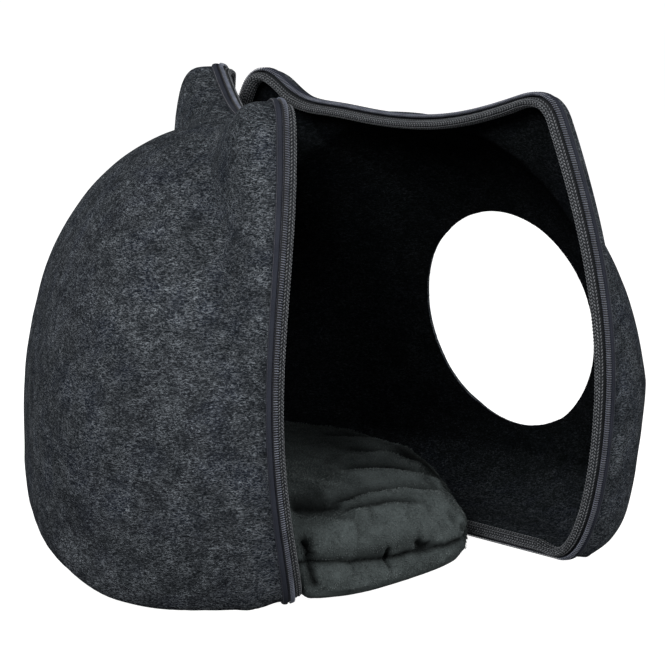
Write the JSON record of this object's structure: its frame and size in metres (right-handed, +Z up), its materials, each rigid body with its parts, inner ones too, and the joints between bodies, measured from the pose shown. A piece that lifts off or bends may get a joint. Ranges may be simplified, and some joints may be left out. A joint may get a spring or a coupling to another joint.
{
  "type": "felt cat cave",
  "caption": "Two-part felt cat cave with cat ears and a round entrance, standing open on its rim zip, with a plush pad inside.",
  "frame": {"origin": "on the flat underside of the back bowl, in the middle of its width and 85 mm behind its rim; z = 0 is the surface that it stands on", "axes": "+Z up; the back bowl's open side faces -Y; +X is the side with the last closed stretch of the zip, about which the front bowl is swung open by 32.9 degrees"},
  "size_m": [0.5172, 0.5336, 0.4046],
  "materials": {
    "felt": "charcoal melange needled felt",
    "zip_tape": "smooth blue-black woven tape",
    "zip_coil": "navy-black nylon coil",
    "mesh_binding": "grey knitted mesh ribbon",
    "plush": "dark green-grey short-pile plush"
  },
  "bodies": {
    "root": {"back_shell": "felt", "front_shell": "felt", "zip_tape_back": "zip_tape", "zip_tape_front": "zip_tape", "zip_coil_back": "zip_coil", "zip_coil_front": "zip_coil", "binding_back": "mesh_binding", "binding_front": "mesh_binding", "cushion": "plush"}
  },
  "joints": []
}
